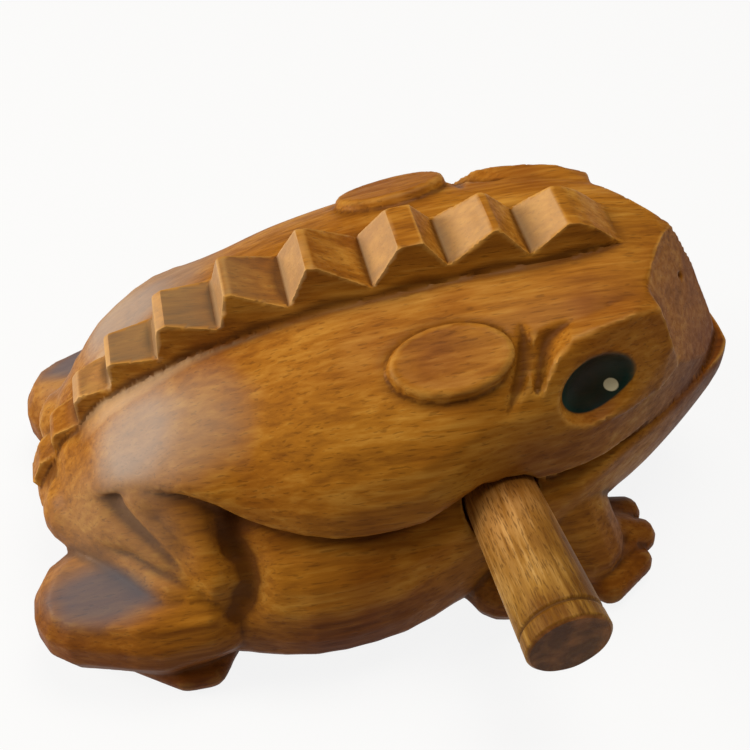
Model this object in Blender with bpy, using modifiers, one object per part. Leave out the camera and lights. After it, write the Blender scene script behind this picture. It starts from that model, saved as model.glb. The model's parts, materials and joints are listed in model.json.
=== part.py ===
import math

import bmesh
import bpy
from mathutils import Matrix, Vector

# Frog guiro: a hollow carved frog with a notched crest, and the stick carried across its mouth.
# Metres. X runs from rump to nose, Y to the frog's left, Z up. The belly stands on Z = 0.

# Back shell and head
shellRear = -0.0630
shellNose = 0.0645
shellHalfWidth = 0.0375
backHeight = 0.0600
seamHeight = 0.0340
seamOverlap = 0.0065
# Chisel cut on each side of the snout: its ridge on the centre line, and how far it runs back
# for each metre sideways and for each metre up
snoutX = 0.0522
snoutHeight = 0.0587
snoutSweep = 0.67
snoutLean = 0.58

# Belly and lower jaw
bellyRear = -0.0600
jawNose = 0.0664
bellyHalfWidth = 0.0412
bellyWidest = 0.0130
jawWidest = 0.0305
restingDepth = 0.0015
bellyOverlap = 0.0030
cheekRise = 0.0050
lipRear = 0.0260
lipOverlap = 0.0004

# Crest along the back
crestFront = 0.0430
crestTail = -0.0632
crestRise = 0.0073
crestTopHalfWidth = 0.0052
crestBaseHalfWidth = 0.0080
crestRoot = 0.0100
# Height of the uncut edge along X, as a share of the rise
crestShape = ((-0.0620, 0.5), (-0.0580, 0.62), (-0.0520, 0.72), (-0.0460, 0.80), (-0.0360, 1.0),
              (0.0050, 1.0), (0.0190, 0.92), (0.0330, 0.74), (0.0420, -0.1))
# Worn tip of each tooth as (front, rear) along X, and the notch behind it as (X, depth)
toothTips = ((0.0330, 0.0314), (0.0197, 0.0186), (0.0068, 0.0027), (-0.0113, -0.0125),
             (-0.0249, -0.0260), (-0.0358, -0.0374), (-0.0456, -0.0465), (-0.0520, -0.0530),
             (-0.0574, -0.0582), (-0.0611, -0.0618))
notches = ((0.0251, 0.0050), (0.0106, 0.0049), (-0.0024, 0.0058), (-0.0171, 0.0055), (-0.0290, 0.0050),
           (-0.0403, 0.0041), (-0.0484, 0.0033), (-0.0549, 0.0026), (-0.0594, 0.0017))

# How far a notch cutter runs past the tips, as a multiple of its walls
notchReach = 1.6

# Raised glands behind the eyes
glandX = 0.0075
glandY = 0.0223
glandLength = 0.0206
glandWidth = 0.0128
glandRise = 0.0014
glandRoot = 0.0050
glandRound = 0.0011

# Eyes
eyeX = 0.0320
eyeY = 0.0290
eyeZ = 0.0495
eyeLength = 0.0170
eyeHeight = 0.0130
eyeDepth = 0.0062
eyeWay = (0.30, 0.88, 0.36)
# Corners of the block that is left round each eye, from the brow down to the lower lid
browCorners = (
    (0.0207, 0.0287, 0.0513), (0.0233, 0.0259, 0.0558), (0.0271, 0.0234, 0.0580),
    (0.0320, 0.0224, 0.0586), (0.0375, 0.0211, 0.0587), (0.0436, 0.0191, 0.0574),
    (0.0270, 0.0170, 0.0578), (0.0425, 0.0138, 0.0587),
    (0.0225, 0.0300, 0.0465), (0.0300, 0.0292, 0.0430), (0.0370, 0.0270, 0.0420),
    (0.0440, 0.0230, 0.0420), (0.0492, 0.0187, 0.0430), (0.0462, 0.0205, 0.0500),
    (0.0250, 0.0150, 0.0430), (0.0450, 0.0120, 0.0430),
)
nostrilX = 0.0535
nostrilY = 0.0050
nostrilSize = 0.0011
# Crescents cut with a small gouge, as (X, Y, half width of the tool) along the stroke, and how far
# the tool's axis rides above the shell as a share of that half width
glandStroke = ((0.0200, 0.0175, 0.0004), (0.0200, 0.0218, 0.0017), (0.0184, 0.0262, 0.0019),
               (0.0146, 0.0305, 0.0005))
browStroke = ((0.0290, 0.0190, 0.0004), (0.0240, 0.0205, 0.0016), (0.0214, 0.0242, 0.0018),
              (0.0200, 0.0290, 0.0005))
strokeLift = 0.25

# Legs: (X, Y, Z, radius) of the round knots that each roll is drawn over
thighFlutes = (
    ((-0.0415, 0.0195, 0.0338, 0.0056), (-0.0345, 0.0235, 0.0320, 0.0050),
     (-0.0365, 0.0140, 0.0330, 0.0050), (-0.0322, 0.0295, 0.0220, 0.0064)),
    ((-0.0486, 0.0135, 0.0290, 0.0060), (-0.0360, 0.0285, 0.0195, 0.0066)),
    ((-0.0545, 0.0105, 0.0212, 0.0072), (-0.0395, 0.0270, 0.0180, 0.0075)),
)
shankKnots = ((-0.0550, 0.0245, 0.0108, 0.0105), (-0.0440, 0.0292, 0.0118, 0.0100),
              (-0.0356, 0.0305, 0.0135, 0.0088))
# Flat left by the gouge along the top of the shank: a point of it and the way it faces
shankFlat = (-0.0450, 0.0300, 0.0208)
shankFlatWay = (-0.20, 0.30, 0.93)
hindFootKnots = ((-0.0530, 0.0270, 0.0040, 0.0040), (-0.0408, 0.0358, 0.0032, 0.0034),
                 (-0.0370, 0.0358, 0.0032, 0.0034), (-0.0343, 0.0295, 0.0050, 0.0048))
upperArmKnots = ((0.0280, 0.0230, 0.0200, 0.0085), (0.0330, 0.0270, 0.0085, 0.0078))
forearmKnots = ((0.0170, 0.0310, 0.0080, 0.0078), (0.0345, 0.0262, 0.0062, 0.0064))
toeKnots = (
    ((0.0340, 0.0215, 0.0060, 0.0058), (0.0446, 0.0184, 0.0034, 0.0035)),
    ((0.0350, 0.0245, 0.0064, 0.0060), (0.0455, 0.0240, 0.0034, 0.0036)),
    ((0.0345, 0.0275, 0.0058, 0.0056), (0.0432, 0.0292, 0.0032, 0.0034), (0.0368, 0.0338, 0.0030, 0.0032)),
)

# Mouth, cross bore and sound chamber
mouthHeight = 0.0327
mouthSlit = 0.0014
boreRadius = 0.0068
boreX = 0.0128
boreHeight = 0.0300
boreYaw = math.radians(4.5)
chamberLength = 0.0560
chamberWidth = 0.0400
chamberHeight = 0.0300
chamberX = 0.0080
chamberZ = 0.0310

# Stick
stickClearance = 0.0004
stickHandleRadius = 0.0073
stickNear = 0.0609
stickFar = 0.0400
stickFlare = 0.0300
stickChamfer = 0.0006
stickGroove = 0.0036
stickGrooveDepth = 0.0005
stickFacets = 40

# Distance over which a slope is measured, and the one within which points are one
slopeRun = 0.0010
weldDistance = 0.00001

smoothAngle = math.radians(26.5)
carvedWoodColour = (0.38, 0.16, 0.045, 1.0)
stickWoodColour = (0.52, 0.31, 0.11, 1.0)


def smoothValue(stations, t):
    """Value at t on a smooth curve through (t, value) stations, without overshoot."""
    if t <= stations[0][0]:
        return stations[0][1]
    if t >= stations[-1][0]:
        return stations[-1][1]
    slopes = [(b[1] - a[1]) / (b[0] - a[0]) for a, b in zip(stations, stations[1:])]
    tangents = [slopes[0]]
    for before, after in zip(slopes, slopes[1:]):
        level = before * after <= 0
        tangents.append(0.0 if level else 2 * before * after / (before + after))
    tangents.append(slopes[-1])
    i = next(k for k in range(len(slopes)) if t <= stations[k + 1][0])
    t0, v0 = stations[i]
    t1, v1 = stations[i + 1]
    s = (t - t0) / (t1 - t0)
    keep = (1 + 2 * s) * (1 - s) ** 2
    gain = s * s * (3 - 2 * s)
    lean = s * (1 - s) ** 2 * tangents[i] - s * s * (1 - s) * tangents[i + 1]
    return keep * v0 + gain * v1 + (t1 - t0) * lean


def signedPower(value, exponent):
    return math.copysign(abs(value) ** exponent, value)


def sectionPoint(section, angle):
    """Point (y, z) of a rounded section: angle 0 is the frog's left, a quarter turn is the top."""
    flat = 2 / section["squareness"]
    aloft = signedPower(math.sin(angle), flat)
    reach = section["top"] - section["widest"] if aloft > 0 else section["widest"] - section["bottom"]
    return section["halfWidth"] * signedPower(math.cos(angle), flat), section["widest"] + reach * aloft


def shellSection(t):
    top = ((0, 0.285), (0.003, 0.31), (0.012, 0.35), (0.039, 0.45), (0.07, 0.55), (0.12, 0.68),
           (0.16, 0.735), (0.21, 0.80), (0.26, 0.86), (0.32, 0.905), (0.37, 0.935), (0.42, 0.955),
           (0.50, 0.972), (0.56, 0.985), (0.64, 1.0), (0.80, 1.01), (0.87, 1.0), (0.905, 0.975),
           (0.93, 0.895), (0.955, 0.78), (0.985, 0.64), (1.0, 0.56))
    width = ((0, 0.02), (0.003, 0.11), (0.01, 0.19), (0.03, 0.30), (0.06, 0.40), (0.13, 0.57),
             (0.26, 0.79), (0.40, 0.95), (0.49, 0.965), (0.59, 0.885), (0.67, 0.83), (0.74, 0.775),
             (0.79, 0.69), (0.855, 0.545), (0.92, 0.38), (0.965, 0.235), (0.985, 0.13), (1.0, 0.04))
    seam = ((0, 0.5), (0.04, 0.7), (0.12, 1.05), (0.2, 1.16), (0.30, 1.02), (0.40, 0.97), (0.5, 1.02),
            (0.58, 1.15), (0.68, 1.04), (0.8, 1.0), (1.0, 0.97))
    square = ((0, 1.75), (0.28, 1.8), (0.42, 2.1), (0.6, 2.6), (0.75, 3.3), (0.9, 3.2), (1.0, 2.2))
    tail = ((0, 0.1), (0.01, 0.5), (0.05, 1.0))
    widest = seamHeight * smoothValue(seam, t)
    return {
        "halfWidth": shellHalfWidth * smoothValue(width, t),
        "top": backHeight * smoothValue(top, t),
        "widest": widest,
        "bottom": widest - seamOverlap * smoothValue(tail, t),
        "squareness": smoothValue(square, t),
    }


def bellySection(t):
    width = ((0, 0.03), (0.003, 0.16), (0.01, 0.29), (0.03, 0.46), (0.06, 0.57), (0.10, 0.68),
             (0.16, 0.80), (0.24, 0.92), (0.35, 1.0), (0.43, 0.975), (0.51, 0.90), (0.58, 0.83),
             (0.63, 0.80), (0.715, 0.73), (0.76, 0.655), (0.83, 0.535), (0.895, 0.395),
             (0.95, 0.265), (0.985, 0.17), (1.0, 0.09))
    lift = ((0, 0.0), (0.47, 0.0), (0.55, 0.2), (0.63, 0.53), (0.72, 0.85), (0.8, 1.0), (1.0, 1.0))
    under = ((0, 0.40), (0.003, 0.33), (0.01, 0.25), (0.03, 0.14), (0.08, 0.0), (0.50, 0.0),
             (0.64, 0.03), (0.72, 0.07), (0.80, 0.14), (0.865, 0.25), (0.92, 0.40), (0.97, 0.60),
             (0.99, 0.76), (1.0, 0.92))
    square = ((0, 2.8), (0.55, 2.8), (0.7, 2.2), (1.0, 2.0))
    roof = ((0, 0.0), (0.45, 0.0), (0.6, 1.0), (0.68, 0.0), (1.0, 0.0))
    rump = ((0, 0.05), (0.003, 0.30), (0.01, 0.52), (0.03, 0.80), (0.07, 1.0))
    widest = bellyWidest + (jawWidest - bellyWidest) * smoothValue(lift, t)
    top = mouthHeight + bellyOverlap + cheekRise * smoothValue(roof, t)
    return {
        "halfWidth": bellyHalfWidth * smoothValue(width, t),
        "top": widest + (top - widest) * smoothValue(rump, t),
        "widest": widest,
        "bottom": jawWidest * smoothValue(under, t) - restingDepth,
        "squareness": smoothValue(square, t),
    }


def shellShare(x):
    return (x - shellRear) / (shellNose - shellRear)


def backTop(x):
    return shellSection(shellShare(x))["top"]


def crestLine(x):
    """Height of the crest's uncut edge."""
    return backTop(x) + crestRise * smoothValue(crestShape, x)


def crestNormal(x):
    slope = Vector((2 * slopeRun, 0, crestLine(x + slopeRun) - crestLine(x - slopeRun))).normalized()
    return Vector((-slope.z, 0, slope.x))


def shellSurface(x, y):
    """Point on the upper shell at x and y, with the outward normal there."""
    def height(px, py):
        section = shellSection(shellShare(px))
        inside = max(0.0, 1 - (abs(py) / section["halfWidth"]) ** section["squareness"])
        share = inside ** (1 / section["squareness"])
        return section["widest"] + (section["top"] - section["widest"]) * share
    alongX = Vector((2 * slopeRun, 0, height(x + slopeRun, y) - height(x - slopeRun, y)))
    alongY = Vector((0, 2 * slopeRun, height(x, y + slopeRun) - height(x, y - slopeRun)))
    return Vector((x, y, height(x, y))), alongX.cross(alongY).normalized()


def newPiece(name, bm, collection):
    bmesh.ops.recalc_face_normals(bm, faces=bm.faces)
    mesh = bpy.data.meshes.new(name)
    bm.to_mesh(mesh)
    bm.free()
    piece = bpy.data.objects.new(name, mesh)
    collection.objects.link(piece)
    return piece


def roundedLoft(rear, front, section, rings, sides):
    """Closed body along X with rounded sections, made from a sphere whose poles are its ends."""
    bm = bmesh.new()
    bmesh.ops.create_uvsphere(bm, u_segments=sides, v_segments=rings, radius=1.0)
    for v in bm.verts:
        t = 0.5 + 0.5 * v.co.z
        sizes = section(t)
        if math.hypot(v.co.x, v.co.y) < 1e-6:
            y, z = 0.0, sizes["widest"]
        else:
            y, z = sectionPoint(sizes, math.atan2(v.co.y, v.co.x))
        v.co = (rear + (front - rear) * t, y, z)
    return bm


def ball(centre, radii, turn=None, sides=16, rings=10):
    bm = bmesh.new()
    rotation = (turn or Matrix.Identity(3)).to_4x4()
    place = Matrix.Translation(centre) @ rotation @ Matrix.Diagonal((*radii, 1))
    bmesh.ops.create_uvsphere(bm, u_segments=sides, v_segments=rings, radius=1.0, matrix=place)
    return bm


def hullOf(points):
    """Closed convex body round the points."""
    bm = bmesh.new()
    for point in points:
        bm.verts.new(point)
    made = bmesh.ops.convex_hull(bm, input=bm.verts)
    inner = [g for g in made["geom_interior"] if isinstance(g, bmesh.types.BMVert)]
    bmesh.ops.delete(bm, geom=inner, context="VERTS")
    return bm


def roll(knots, side, sides=14, rings=7):
    """Tapered roll drawn over round knots given as (x, y, z, radius), y away from the middle."""
    points = []
    for x, y, z, radius in knots:
        bm = ball((x, side * y, z), (radius, radius, radius), None, sides, rings)
        points += [v.co.copy() for v in bm.verts]
        bm.free()
    return hullOf(points)


def shank(side):
    """Roll of the lower leg with a flat along its top."""
    bm = roll(shankKnots, side)
    x, y, z = shankFlat
    nx, ny, nz = shankFlatWay
    cut = bmesh.ops.bisect_plane(bm, geom=[*bm.verts, *bm.edges, *bm.faces], plane_co=(x, side * y, z),
                                 plane_no=(nx, side * ny, nz), clear_outer=True)
    rim = [g for g in cut["geom_cut"] if isinstance(g, bmesh.types.BMEdge)]
    bmesh.ops.contextual_create(bm, geom=rim)
    return bm


def gouged(path):
    """Cutter of one stroke of a gouge: a bevelled curve through (point, radius) stations."""
    curve = bpy.data.curves.new("stroke", "CURVE")
    curve.dimensions = "3D"
    curve.bevel_depth = 1.0
    curve.bevel_resolution = 1
    curve.use_fill_caps = True
    curve.resolution_u = 2
    spline = curve.splines.new("NURBS")
    spline.points.add(len(path) - 1)
    spline.use_endpoint_u = True
    spline.order_u = 3
    for station, (point, radius) in zip(spline.points, path):
        station.co = (*point, 1)
        station.radius = radius
    stroke = bpy.data.objects.new("stroke", curve)
    bpy.context.scene.collection.objects.link(stroke)
    mesh = bpy.data.meshes.new_from_object(stroke.evaluated_get(bpy.context.evaluated_depsgraph_get()))
    bpy.data.objects.remove(stroke, do_unlink=True)
    bm = bmesh.new()
    bm.from_mesh(mesh)
    bpy.data.meshes.remove(mesh)
    bmesh.ops.remove_doubles(bm, verts=bm.verts, dist=weldDistance)
    return bm


def crestBand():
    """Uncut crest: a ribbon with sloping sides that follows the back."""
    steps = 44
    bm = bmesh.new()
    bmesh.ops.create_cube(bm, size=1.0)
    longEdges = [e for e in bm.edges if abs(e.verts[0].co.x - e.verts[1].co.x) > 0.5]
    bmesh.ops.subdivide_edges(bm, edges=longEdges, cuts=steps - 1, use_grid_fill=True)
    for v in bm.verts:
        t = 0.5 + v.co.x
        x = crestTail + (crestFront - crestTail) * t
        taper = smoothValue(((0, 0.5), (0.12, 0.66), (0.3, 0.92), (0.45, 1.0), (1.0, 1.0)), t)
        half = (crestTopHalfWidth if v.co.z > 0 else crestBaseHalfWidth) * taper
        depth = 0.0 if v.co.z > 0 else crestRoot * taper
        point = Vector((x, 0, crestLine(x))) - crestNormal(x) * depth
        v.co = (point.x, math.copysign(half, v.co.y), point.z)
    return bm


def onCrest(x):
    return Vector((x, 0, crestLine(x)))


def notch(frontTip, x, depth, rearTip):
    """Three-sided cutter whose walls run from the notch's root through the tips beside it."""
    root = onCrest(x) - crestNormal(x) * depth
    front = root.lerp(onCrest(frontTip), notchReach)
    rear = root.lerp(onCrest(rearTip), notchReach)
    half = crestBaseHalfWidth * 2
    return hullOf([(corner.x, y, corner.z) for corner in (root, front, rear) for y in (-half, half)])


def crestNotches():
    made = []
    for k, (x, depth) in enumerate(notches):
        made.append((f"notch_{k}", notch(toothTips[k][1], x, depth, toothTips[k + 1][0])))
    return made


def gland(side):
    """Raised flat-topped oval on the shell."""
    centre, normal = shellSurface(glandX, side * glandY)
    bm = bmesh.new()
    bmesh.ops.create_cone(bm, cap_ends=True, segments=28, radius1=0.5, radius2=0.5, depth=1.0)
    rim = [e for e in bm.edges if all(v.co.z > 0 for v in e.verts)]
    thickness = glandRoot + glandRise
    for v in bm.verts:
        v.co = (v.co.x * glandLength, v.co.y * glandWidth, (v.co.z + 0.5) * thickness - glandRoot)
    bmesh.ops.bevel(bm, geom=rim, offset=glandRound, segments=3, affect="EDGES", profile=0.5)
    across = normal.cross(Vector((1, 0, 0))).normalized()
    turn = Matrix((across.cross(normal), across, normal)).transposed()
    bm.transform(Matrix.Translation(centre) @ turn.to_4x4())
    return bm


def snoutCut(side):
    """Flat chisel cut that slopes from the ridge of the snout down to the mouth."""
    reach = shellHalfWidth
    corners = []
    for y in (-reach, reach):
        for z in (mouthHeight, 2 * backHeight):
            back = snoutX - snoutSweep * y - snoutLean * (z - snoutHeight)
            corners += [(back, side * y, z), (back + 2 * reach, side * y, z)]
    return hullOf(corners)


def brow(side):
    return hullOf([(x, side * y, z) for x, y, z in browCorners])


def eyeSocket(side):
    normal = Vector((eyeWay[0], side * eyeWay[1], eyeWay[2])).normalized()
    along = Vector((0, 0, 1)).cross(normal).normalized()
    turn = Matrix((along, normal.cross(along), normal)).transposed()
    return ball((eyeX, side * eyeY, eyeZ), (eyeLength / 2, eyeHeight / 2, eyeDepth), turn, 20, 12)


def crescent(stroke, side):
    """Gouge stroke that lies on the shell."""
    path = []
    for x, y, radius in stroke:
        point, normal = shellSurface(x, side * y)
        path.append((point + normal * radius * strokeLift, radius))
    return gouged(path)


def nostril(side):
    z = snoutHeight - (nostrilX - snoutX + snoutSweep * nostrilY) / snoutLean
    return ball((nostrilX, side * nostrilY, z), (nostrilSize, nostrilSize, nostrilSize), None, 8, 5)


def boreAxis():
    """Direction from the frog's left to its right along the cross bore."""
    return Vector((math.sin(boreYaw), -math.cos(boreYaw), 0))


def box(low, high):
    bm = bmesh.new()
    size = Vector(high) - Vector(low)
    place = Matrix.Translation((Vector(high) + Vector(low)) / 2) @ Matrix.Diagonal((*size, 1))
    bmesh.ops.create_cube(bm, size=1.0, matrix=place)
    return bm


def chamber():
    radii = (chamberLength / 2, chamberWidth / 2, chamberHeight / 2)
    return ball((chamberX, 0, chamberZ), radii, None, 16, 10)


def bore():
    bm = bmesh.new()
    turn = boreAxis().to_track_quat("Z", "Y").to_matrix().to_4x4()
    bmesh.ops.create_cone(bm, cap_ends=True, segments=32, radius1=boreRadius, radius2=boreRadius,
                          depth=4 * shellHalfWidth,
                          matrix=Matrix.Translation((boreX, 0, boreHeight)) @ turn)
    return bm


def mouth():
    """Level saw cut from the nose back to the bore."""
    half = mouthSlit / 2
    wide = 2 * bellyHalfWidth
    return box((boreX, -wide, mouthHeight - half), (2 * jawNose, wide, mouthHeight + half))


def lowerLip():
    """Trims the lower jaw level with the mouth, in front of the cheeks."""
    wide = 2 * bellyHalfWidth
    return box((lipRear, -wide, mouthHeight), (2 * jawNose, wide, 2 * mouthHeight))


def upperLip():
    """Trims the head just under the mouth, so that head and jaw only meet where the slit is cut."""
    wide = 2 * bellyHalfWidth
    return box((lipRear, -wide, -mouthHeight), (2 * jawNose, wide, mouthHeight - lipOverlap))


def ground():
    reach = 2 * jawNose
    return box((-reach, -reach, -reach), (reach, reach, 0))


def makeStick(collection):
    """Turned stick: its profile runs from the handle's face to the far end, round its own axis."""
    length = stickNear + stickFar
    shaft = boreRadius - stickClearance
    profile = (
        (0, 0), (stickHandleRadius - stickChamfer, 0), (stickHandleRadius, stickChamfer),
        (stickHandleRadius, stickGroove - stickGrooveDepth),
        (stickHandleRadius - stickGrooveDepth, stickGroove),
        (stickHandleRadius, stickGroove + stickGrooveDepth),
        (shaft, stickFlare), (shaft, length - stickChamfer), (shaft - stickChamfer, length), (0, length),
    )
    bm = bmesh.new()
    verts = [bm.verts.new((radius, 0, -along)) for radius, along in profile]
    for a, b in zip(verts, verts[1:]):
        bm.edges.new((a, b))
    mesh = bpy.data.meshes.new("stick")
    bm.to_mesh(mesh)
    bm.free()
    piece = bpy.data.objects.new("stick", mesh)
    collection.objects.link(piece)
    turned = piece.modifiers.new("turned", "SCREW")
    turned.steps = turned.render_steps = stickFacets
    turned.use_merge_vertices = True
    turned.merge_threshold = weldDistance
    axis = boreAxis()
    piece.location = Vector((boreX, 0, boreHeight)) + axis * stickNear
    piece.rotation_euler = axis.to_track_quat("Z", "Y").to_euler()
    return piece


def smoothByAngle(piece):
    """Shades the finished piece smooth, with its edges above smoothAngle kept crisp."""
    tree = bpy.data.node_groups.new("smooth_by_angle", "GeometryNodeTree")
    tree.interface.new_socket("Geometry", in_out="INPUT", socket_type="NodeSocketGeometry")
    tree.interface.new_socket("Geometry", in_out="OUTPUT", socket_type="NodeSocketGeometry")
    start = tree.nodes.new("NodeGroupInput")
    faces = tree.nodes.new("GeometryNodeSetShadeSmooth")
    faces.domain = "FACE"
    edges = tree.nodes.new("GeometryNodeSetShadeSmooth")
    edges.domain = "EDGE"
    edges.inputs["Shade Smooth"].default_value = False
    angle = tree.nodes.new("GeometryNodeInputMeshEdgeAngle")
    crisp = tree.nodes.new("ShaderNodeMath")
    crisp.operation = "GREATER_THAN"
    crisp.inputs[1].default_value = smoothAngle
    end = tree.nodes.new("NodeGroupOutput")
    tree.links.new(start.outputs[0], faces.inputs["Geometry"])
    tree.links.new(angle.outputs["Unsigned Angle"], crisp.inputs[0])
    tree.links.new(crisp.outputs[0], edges.inputs["Selection"])
    tree.links.new(faces.outputs[0], edges.inputs["Geometry"])
    tree.links.new(edges.outputs[0], end.inputs[0])
    piece.modifiers.new("smooth_by_angle", "NODES").node_group = tree


def woodMaterial(name, colour, roughness):
    material = bpy.data.materials.new(name)
    material.use_nodes = True
    shader = material.node_tree.nodes["Principled BSDF"]
    shader.inputs["Base Color"].default_value = colour
    shader.inputs["Roughness"].default_value = roughness
    shader.inputs["Metallic"].default_value = 0.0
    return material


def joinPiece(body, tool, operation, solver="MANIFOLD"):
    tool.hide_render = True
    tool.display_type = "WIRE"
    modifier = body.modifiers.new(tool.name, "BOOLEAN")
    modifier.operation = operation
    modifier.object = tool
    modifier.solver = solver


def combine(body, cutters, shapes, operation, solver="MANIFOLD"):
    for name, bm in shapes:
        joinPiece(body, newPiece(name, bm, cutters), operation, solver)


def main():
    for item in list(bpy.data.objects):
        bpy.data.objects.remove(item, do_unlink=True)
    parts = bpy.data.collections.new("frog_guiro")
    cutters = bpy.data.collections.new("cutters")
    for collection in (parts, cutters):
        bpy.context.scene.collection.children.link(collection)

    body = newPiece("frog_body", roundedLoft(shellRear, shellNose, shellSection, 40, 32), parts)
    cuts = [(f"snout_cut_{side}", snoutCut(side)) for side in (-1, 1)]
    combine(body, cutters, [*cuts, ("upper_lip", upperLip())], "DIFFERENCE", "EXACT")

    belly = newPiece("belly", roundedLoft(bellyRear, jawNose, bellySection, 36, 32), cutters)
    combine(belly, cutters, [("lower_lip", lowerLip())], "DIFFERENCE", "EXACT")
    # The exact solver loses the body where rolls, belly and shell meet at shallow angles, and the
    # crest at its notches, so what follows uses the other solver
    joinPiece(body, belly, "UNION")
    adds = []
    for side in (-1, 1):
        adds += [(f"gland_{side}", gland(side)), (f"brow_{side}", brow(side))]
        adds.append((f"shank_{side}", shank(side)))
        hind = (*thighFlutes, hindFootKnots)
        adds += [(f"hind_roll_{side}_{k}", roll(knots, side)) for k, knots in enumerate(hind)]
        fore = (upperArmKnots, forearmKnots, *toeKnots)
        adds += [(f"fore_roll_{side}_{k}", roll(knots, side)) for k, knots in enumerate(fore)]
    combine(body, cutters, adds, "UNION")

    crest = newPiece("crest", crestBand(), cutters)
    combine(crest, cutters, crestNotches(), "DIFFERENCE")
    joinPiece(body, crest, "UNION")

    cuts = []
    for side in (-1, 1):
        cuts += [(f"socket_{side}", eyeSocket(side)), (f"nostril_{side}", nostril(side))]
        cuts += [(f"gland_stroke_{side}", crescent(glandStroke, side))]
        cuts += [(f"brow_stroke_{side}", crescent(browStroke, side))]
    cuts += [("chamber", chamber()), ("bore", bore()), ("mouth", mouth()), ("ground", ground())]
    combine(body, cutters, cuts, "DIFFERENCE")

    stick = makeStick(parts)
    for piece in (body, stick):
        smoothByAngle(piece)
    body.data.materials.append(woodMaterial("carved_wood", carvedWoodColour, 0.42))
    stick.data.materials.append(woodMaterial("stick_wood", stickWoodColour, 0.48))


main()
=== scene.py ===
import math

import bmesh
import bpy
import numpy as np
from mathutils import Matrix, Vector, noise
from mathutils.bvhtree import BVHTree
from mathutils.kdtree import KDTree
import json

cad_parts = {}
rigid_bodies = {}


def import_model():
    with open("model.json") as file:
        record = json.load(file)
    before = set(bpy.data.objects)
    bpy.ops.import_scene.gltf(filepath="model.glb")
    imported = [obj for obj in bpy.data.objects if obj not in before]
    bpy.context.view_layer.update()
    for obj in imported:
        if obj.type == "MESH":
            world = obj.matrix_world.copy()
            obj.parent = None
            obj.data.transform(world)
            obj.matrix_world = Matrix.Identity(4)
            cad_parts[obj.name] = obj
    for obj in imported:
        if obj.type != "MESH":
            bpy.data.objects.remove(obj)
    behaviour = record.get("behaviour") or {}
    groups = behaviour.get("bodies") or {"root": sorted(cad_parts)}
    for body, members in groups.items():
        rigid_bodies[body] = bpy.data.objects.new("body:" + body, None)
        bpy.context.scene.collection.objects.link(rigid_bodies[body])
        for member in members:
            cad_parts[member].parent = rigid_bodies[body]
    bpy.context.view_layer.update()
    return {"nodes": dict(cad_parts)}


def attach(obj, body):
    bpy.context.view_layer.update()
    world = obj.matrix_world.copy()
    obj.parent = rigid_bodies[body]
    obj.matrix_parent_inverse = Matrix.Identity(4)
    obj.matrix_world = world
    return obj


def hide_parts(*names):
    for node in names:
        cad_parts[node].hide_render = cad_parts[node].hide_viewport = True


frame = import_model()

# Carved frog of lacquered hardwood with a turned stick through its mouth.
# Nose along +X, the frog's left along +Y, belly on Z = 0. The pieces' dictionaries are in mm and
# degrees, the studio's in metres and degrees.


def linear(hexColour):
    # sRGB hex to linear RGBA
    parts = [int(hexColour[i:i + 2], 16) / 255 for i in (1, 3, 5)]
    return (*[p / 12.92 if p <= 0.04045 else ((p + 0.055) / 1.055) ** 2.4 for p in parts], 1.0)


def add(tree, kind, inputs=None, stops=None, **settings):
    # a node with its settings; inputs are sockets to link, hex colours or plain values
    node = tree.nodes.new(kind)
    for key, value in settings.items():
        setattr(node, key, value)
    for key, value in (inputs or {}).items():
        if isinstance(value, bpy.types.NodeSocket):
            tree.links.new(value, node.inputs[key])
        else:
            node.inputs[key].default_value = linear(value) if isinstance(value, str) else value
    for place, value in stops or ():
        element = node.color_ramp.elements.new(place)
        element.color = linear(value) if isinstance(value, str) else (value, value, value, 1.0)
    if stops:
        for _ in range(2):  # the two that a new ramp has
            spare = [e for e in node.color_ramp.elements if e.position in (0.0, 1.0)][0]
            node.color_ramp.elements.remove(spare)
    return node


def emptyMaterial(name):
    material = bpy.data.materials.new(name)
    material.use_nodes = True
    material.node_tree.nodes.clear()
    return material, material.node_tree


def place(piece):
    bpy.context.scene.collection.objects.link(piece)
    return piece


def plainMesh(piece):
    # the evaluated shape as a mesh of its own, with no modifier left
    graph = bpy.context.evaluated_depsgraph_get()
    mesh = bpy.data.meshes.new_from_object(piece.evaluated_get(graph))
    piece.modifiers.clear()
    piece.data = mesh
    return mesh


def column(data, name, kind=np.float32, width=3):
    # one property of all points or edges as rows
    values = np.empty(len(data) * width, kind)
    data.foreach_get(name, values)
    values = values.reshape(-1, width)
    return values if kind != np.float32 else values.astype(float)


def averaged(values, pairs, rounds, share=0.5):
    # values evened out along the mesh's edges
    count = np.bincount(pairs.ravel(), minlength=len(values))[:, None]
    for _ in range(rounds):
        total = np.stack([np.bincount(pairs[:, 0], values[pairs[:, 1], k], len(values))
                          + np.bincount(pairs[:, 1], values[pairs[:, 0], k], len(values))
                          for k in range(values.shape[1])], axis=1)
        values = values + share * (total / count - values)
    return values


def ramp(values, start, end):
    # 0 up to start and 1 from end on, in either direction
    return np.clip((values - start) / (end - start), 0, 1)


def setPoints(mesh, co):
    mesh.vertices.foreach_set("co", co.astype(np.float32).ravel())
    mesh.update()


def mark(mesh, name, values):
    # a value at each point, for the material to read
    layer = mesh.attributes.new(name, "FLOAT", "POINT")
    layer.data.foreach_set("value", values.astype(np.float32))


# Frog: one carved block. The CAD body is remeshed fine enough to take gouge strokes and wear.

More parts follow.
